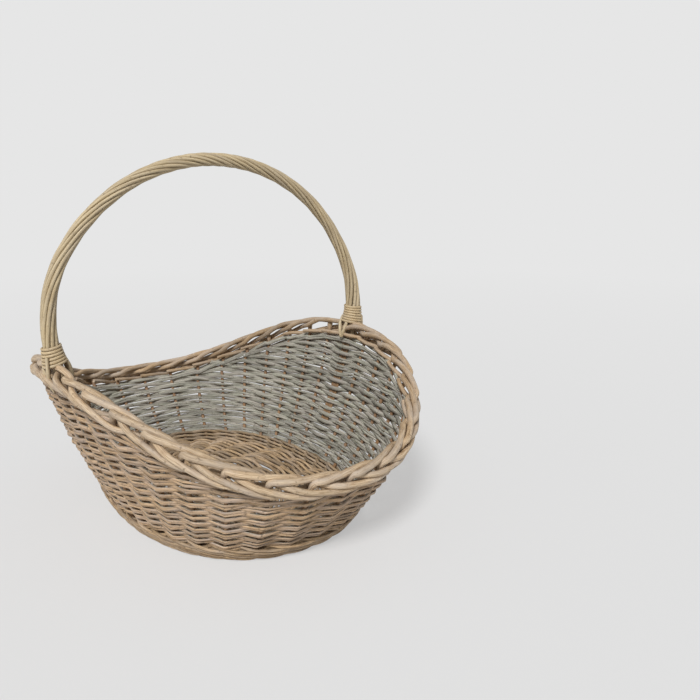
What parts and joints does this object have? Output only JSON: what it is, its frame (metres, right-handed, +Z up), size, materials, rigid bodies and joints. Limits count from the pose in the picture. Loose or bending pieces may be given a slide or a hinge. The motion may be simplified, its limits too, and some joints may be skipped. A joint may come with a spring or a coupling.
{
  "type": "trug garden basket",
  "caption": "Oval willow garden basket with low lips at both ends, high sides and a fixed, wrapped bow handle across the middle.",
  "frame": {"origin": "middle of the foot, on the surface the basket stands on", "axes": "+X from lip to lip, +Y along the handle, +Z up"},
  "size_m": [0.5106, 0.4137, 0.4044],
  "materials": {
    "border_willow": "dried peeled willow, matt, tan",
    "grey_willow": "split willow, grey wash, matt",
    "brown_willow": "willow in its bark, matt, brown",
    "handle_willow": "peeled willow, satin, light tan",
    "cane": "split cane, satin"
  },
  "bodies": {
    "root": {"base_cross_stick_1": "brown_willow", "base_cross_stick_2": "brown_willow", "base_cross_stick_3": "brown_willow", "base_cross_stick_4": "brown_willow", "base_cross_stick_5": "brown_willow", "base_long_stick_1": "brown_willow", "base_long_stick_2": "brown_willow", "base_long_stick_3": "brown_willow", "base_weave": "brown_willow", "bottom_wale": "brown_willow", "handle_bindings": "cane", "handle_bow": "handle_willow", "handle_wrap_rod_1": "handle_willow", "handle_wrap_rod_2": "handle_willow", "handle_wrap_rod_3": "handle_willow", "handle_wrap_rod_4": "handle_willow", "handle_wrap_rod_5": "handle_willow", "handle_wrap_rod_6": "handle_willow", "handle_wrap_rod_7": "handle_willow", "handle_wrap_rod_8": "handle_willow", "side_weave": "grey_willow", "stake_01": "border_willow", "stake_02": "border_willow", "stake_03": "border_willow", "stake_04": "border_willow", "stake_05": "border_willow", "stake_06": "border_willow", "stake_07": "border_willow", "stake_08": "border_willow", "stake_09": "border_willow", "stake_10": "border_willow", "stake_11": "border_willow", "stake_12": "border_willow", "stake_13": "border_willow", "stake_14": "border_willow", "stake_15": "border_willow", "stake_16": "border_willow", "stake_17": "border_willow", "stake_18": "border_willow", "stake_19": "border_willow", "stake_20": "border_willow", "stake_21": "border_willow", "stake_22": "border_willow", "stake_23": "border_willow", "stake_24": "border_willow", "stake_25": "border_willow", "stake_26": "border_willow", "stake_27": "border_willow", "stake_28": "border_willow", "stake_29": "border_willow", "stake_30": "border_willow", "stake_31": "border_willow", "stake_32": "border_willow", "stake_33": "border_willow", "stake_34": "border_willow"}
  },
  "joints": []
}
